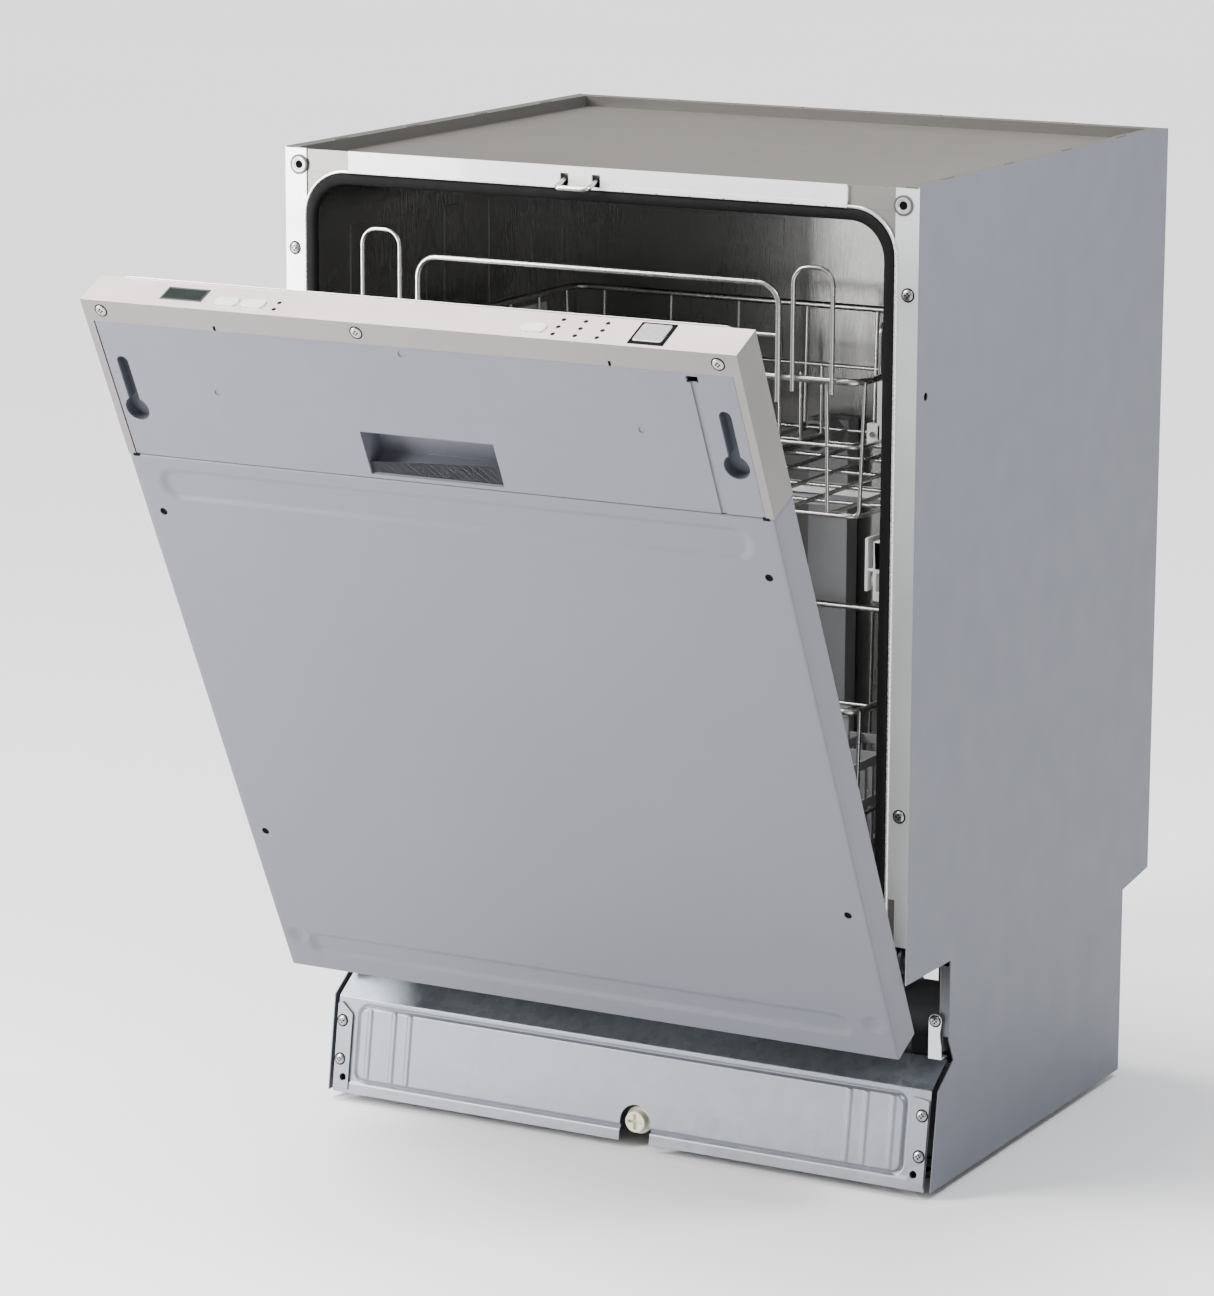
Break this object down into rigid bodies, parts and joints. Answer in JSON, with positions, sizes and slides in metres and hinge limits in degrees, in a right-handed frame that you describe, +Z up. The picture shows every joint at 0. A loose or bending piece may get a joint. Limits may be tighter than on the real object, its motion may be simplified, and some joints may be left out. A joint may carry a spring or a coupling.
{
  "type": "built in dishwasher",
  "caption": "Built-in dishwasher with a hinged drop-down door, control strip on the door edge, two pull-out wire baskets, spray arms and plinth, ready for a furniture front.",
  "frame": {"origin": "floor level, half way across the width, in the plane of the cabinet front strips", "axes": "+X to the right seen from the front, +Y from the front plane towards the back, +Z up"},
  "size_m": [0.598, 0.8332, 0.8656],
  "materials": {
    "side_panel_left": "satin pale blue-grey",
    "side_panel_right": "satin pale blue-grey",
    "top_panel": "satin warm grey",
    "back_panel": "galvanised sheet",
    "tub": "satin stainless",
    "door_seal": "matte black",
    "top_trim": "white",
    "striker": "bright wire",
    "frame_fasteners": "dark ring",
    "cabinet_screws": "zinc plated",
    "plinth_panel": "galvanised, spangled",
    "plinth_brackets": "galvanised",
    "hinge_brackets": "dark steel",
    "balance_springs": "spring steel",
    "base_tray": "moulded black",
    "sump": "moulded",
    "filter_plate": "pierced stainless",
    "filter_cup": "moulded grey",
    "wash_pump": "moulded",
    "drain_pump": "moulded",
    "inlet_valve": "moulded white",
    "drain_spigot": "moulded",
    "feed_pipe": "moulded grey",
    "lower_spray_arm": "moulded grey",
    "rack_rails": "rolled stainless",
    "rail_stops": "moulded white",
    "rail_roller_left": "moulded white",
    "rail_roller_right": "moulded white",
    "front_foot_left": "black",
    "front_foot_right": "black",
    "rear_foot": "black",
    "rear_foot_adjuster": "cream",
    "door_panel": "satin violet-grey",
    "door_cover": "fine grain blue-grey",
    "fascia": "brushed warm stainless",
    "door_liner": "satin stainless",
    "door_hinge_arms": "zinc plated steel",
    "door_latch": "moulded",
    "door_screws": "plated",
    "display_window": "dark smoked",
    "indicator_lights": "unlit lens",
    "power_button": "silver white",
    "program_button": "warm white",
    "option_button_a": "warm white",
    "option_button_b": "warm white",
    "dispenser_body": "moulded grey",
    "dispenser_lid": "moulded grey",
    "rinse_cap": "moulded dark",
    "upper_basket": "grey coated wire",
    "upper_handle": "grey coated wire",
    "upper_slides": "moulded white",
    "upper_wheel_left": "moulded white",
    "upper_wheel_right": "moulded white",
    "upper_spray_arm": "moulded grey",
    "cup_shelf": "grey coated wire",
    "lower_basket": "grey coated wire",
    "lower_wheels_front": "moulded white",
    "lower_wheels_rear": "moulded white",
    "folding_tines": "grey coated wire",
    "cutlery_basket": "moulded light grey"
  },
  "bodies": {
    "cabinet": {"side_panel_left": "side_panel_left", "side_panel_right": "side_panel_right", "top_panel": "top_panel", "back_panel": "back_panel", "tub": "tub", "door_seal": "door_seal", "top_trim": "top_trim", "striker": "striker", "frame_fasteners": "frame_fasteners", "cabinet_screws": "cabinet_screws", "plinth_panel": "plinth_panel", "plinth_brackets": "plinth_brackets", "hinge_brackets": "hinge_brackets", "balance_springs": "balance_springs", "base_tray": "base_tray", "sump": "sump", "filter_plate": "filter_plate", "wash_pump": "wash_pump", "drain_pump": "drain_pump", "inlet_valve": "inlet_valve", "drain_spigot": "drain_spigot", "feed_pipe": "feed_pipe", "rack_rails": "rack_rails", "rail_stops": "rail_stops"},
    "door": {"door_panel": "door_panel", "door_cover": "door_cover", "fascia": "fascia", "door_liner": "door_liner", "door_hinge_arms": "door_hinge_arms", "door_latch": "door_latch", "door_screws": "door_screws", "display_window": "display_window", "indicator_lights": "indicator_lights", "dispenser_body": "dispenser_body"},
    "upper_rack": {"upper_basket": "upper_basket", "upper_handle": "upper_handle", "upper_slides": "upper_slides"},
    "lower_rack": {"lower_basket": "lower_basket"},
    "filter_cup": {"filter_cup": "filter_cup"},
    "lower_spray_arm": {"lower_spray_arm": "lower_spray_arm"},
    "rail_roller_left": {"rail_roller_left": "rail_roller_left"},
    "rail_roller_right": {"rail_roller_right": "rail_roller_right"},
    "front_foot_left": {"front_foot_left": "front_foot_left"},
    "front_foot_right": {"front_foot_right": "front_foot_right"},
    "rear_foot": {"rear_foot": "rear_foot"},
    "rear_foot_adjuster": {"rear_foot_adjuster": "rear_foot_adjuster"},
    "power_button": {"power_button": "power_button"},
    "program_button": {"program_button": "program_button"},
    "option_button_a": {"option_button_a": "option_button_a"},
    "option_button_b": {"option_button_b": "option_button_b"},
    "dispenser_lid": {"dispenser_lid": "dispenser_lid"},
    "rinse_cap": {"rinse_cap": "rinse_cap"},
    "upper_wheel_left": {"upper_wheel_left": "upper_wheel_left"},
    "upper_wheel_right": {"upper_wheel_right": "upper_wheel_right"},
    "upper_spray_arm": {"upper_spray_arm": "upper_spray_arm"},
    "cup_shelf": {"cup_shelf": "cup_shelf"},
    "lower_wheels_front": {"lower_wheels_front": "lower_wheels_front"},
    "lower_wheels_rear": {"lower_wheels_rear": "lower_wheels_rear"},
    "folding_tines": {"folding_tines": "folding_tines"},
    "cutlery_basket": {"cutlery_basket": "cutlery_basket"}
  },
  "joints": [
    {"name": "door_hinge", "type": "hinge", "parent": "cabinet", "child": "door", "pos_m": [0, 0.015, 0.222], "axis": [1, 0, 0], "range_deg": [-26, 64], "stiffness_Nm_per_rad": 30, "springref_deg": -25.78},
    {"name": "upper_rack_slide", "type": "slide", "parent": "cabinet", "child": "upper_rack", "axis": [0, -1, 0], "range_m": [0, 0.15]},
    {"name": "lower_rack_slide", "type": "slide", "parent": "cabinet", "child": "lower_rack", "axis": [0, -1, 0], "range_m": [-0.03, 0.01]},
    {"name": "upper_wheel_left_turn", "type": "hinge", "parent": "upper_rack", "child": "upper_wheel_left", "pos_m": [-0.262, 0.377, 0.5364], "axis": [1, 0, 0], "range_deg": [-5, 1085]},
    {"name": "upper_wheel_right_turn", "type": "hinge", "parent": "upper_rack", "child": "upper_wheel_right", "pos_m": [0.262, 0.377, 0.5364], "axis": [1, 0, 0], "range_deg": [-5, 1085]},
    {"name": "rail_roller_left_turn", "type": "hinge", "parent": "cabinet", "child": "rail_roller_left", "pos_m": [-0.253, 0.032, 0.5367], "axis": [1, 0, 0], "range_deg": [-5, 1085]},
    {"name": "rail_roller_right_turn", "type": "hinge", "parent": "cabinet", "child": "rail_roller_right", "pos_m": [0.253, 0.032, 0.5367], "axis": [1, 0, 0], "range_deg": [-5, 1085]},
    {"name": "lower_wheels_front_turn", "type": "hinge", "parent": "lower_rack", "child": "lower_wheels_front", "pos_m": [0, 0.075, 0.2249], "axis": [1, 0, 0], "range_deg": [-120, 50]},
    {"name": "lower_wheels_rear_turn", "type": "hinge", "parent": "lower_rack", "child": "lower_wheels_rear", "pos_m": [0, 0.347, 0.2249], "axis": [1, 0, 0], "range_deg": [-120, 50]},
    {"name": "upper_spray_spin", "type": "hinge", "parent": "upper_rack", "child": "upper_spray_arm", "pos_m": [0, 0.208, 0.559], "axis": [0, 0, 1], "continuous": true},
    {"name": "lower_spray_spin", "type": "hinge", "parent": "cabinet", "child": "lower_spray_arm", "pos_m": [0, 0.23, 0.219], "axis": [0, 0, 1], "continuous": true},
    {"name": "cup_shelf_fold", "type": "hinge", "parent": "upper_rack", "child": "cup_shelf", "pos_m": [0.229, 0.215, 0.65], "axis": [0, -1, 0], "range_deg": [0, 85]},
    {"name": "tine_fold", "type": "hinge", "parent": "lower_rack", "child": "folding_tines", "pos_m": [-0.066, 0.207, 0.256], "axis": [0, -1, 0], "range_deg": [0, 80]},
    {"name": "cutlery_basket_lift", "type": "slide", "parent": "lower_rack", "child": "cutlery_basket", "axis": [0, 0, 1], "range_m": [0, 0.13]},
    {"name": "filter_cup_twist", "type": "hinge", "parent": "cabinet", "child": "filter_cup", "pos_m": [0.066, 0.296, 0.19], "axis": [0, 0, 1], "range_deg": [0, 90]},
    {"name": "power_button_press", "type": "slide", "parent": "door", "child": "power_button", "axis": [0, 0.4384, -0.8988], "range_m": [0, 0.0012], "stiffness_N_per_m": 500, "springref_m": -0.0004},
    {"name": "program_button_press", "type": "slide", "parent": "door", "child": "program_button", "axis": [0, 0.4384, -0.8988], "range_m": [0, 0.0012], "stiffness_N_per_m": 500, "springref_m": -0.0004},
    {"name": "option_button_a_press", "type": "slide", "parent": "door", "child": "option_button_a", "axis": [0, 0.4384, -0.8988], "range_m": [0, 0.0012], "stiffness_N_per_m": 500, "springref_m": -0.0004},
    {"name": "option_button_b_press", "type": "slide", "parent": "door", "child": "option_button_b", "axis": [0, 0.4384, -0.8988], "range_m": [0, 0.0012], "stiffness_N_per_m": 500, "springref_m": -0.0004},
    {"name": "dispenser_lid_hinge", "type": "hinge", "parent": "door", "child": "dispenser_lid", "pos_m": [-0.076, -0.1045, 0.46746], "axis": [0, -0.4384, 0.8988], "range_deg": [0, 95]},
    {"name": "rinse_cap_turn", "type": "hinge", "parent": "door", "child": "rinse_cap", "pos_m": [0.046, -0.11136, 0.46967], "axis": [0, 0.8988, 0.4384], "range_deg": [0, 90]},
    {"name": "front_foot_left_turn", "type": "hinge", "parent": "cabinet", "child": "front_foot_left", "pos_m": [-0.262, 0.13, 0.03], "axis": [0, 0, 1], "continuous": true},
    {"name": "front_foot_right_turn", "type": "hinge", "parent": "cabinet", "child": "front_foot_right", "pos_m": [0.262, 0.13, 0.03], "axis": [0, 0, 1], "continuous": true},
    {"name": "adjuster_turn", "type": "hinge", "parent": "cabinet", "child": "rear_foot_adjuster", "pos_m": [0.015, 0.06, 0.026], "axis": [0, 1, 0], "continuous": true},
    {"name": "rear_foot_turn", "type": "hinge", "parent": "cabinet", "child": "rear_foot", "pos_m": [0.015, 0.42, 0.02], "axis": [0, 0, 1], "continuous": true}
  ],
  "couplings": [
    {"joint": "upper_wheel_left_turn", "follows": "upper_rack_slide", "rad_per_m": 125},
    {"joint": "upper_wheel_right_turn", "follows": "upper_rack_slide", "rad_per_m": 125},
    {"joint": "rail_roller_left_turn", "follows": "upper_rack_slide", "rad_per_m": 125},
    {"joint": "rail_roller_right_turn", "follows": "upper_rack_slide", "rad_per_m": 125},
    {"joint": "lower_wheels_front_turn", "follows": "lower_rack_slide", "rad_per_m": 62.5},
    {"joint": "lower_wheels_rear_turn", "follows": "lower_rack_slide", "rad_per_m": 62.5},
    {"joint": "rear_foot_turn", "follows": "adjuster_turn", "ratio": 0.5}
  ]
}
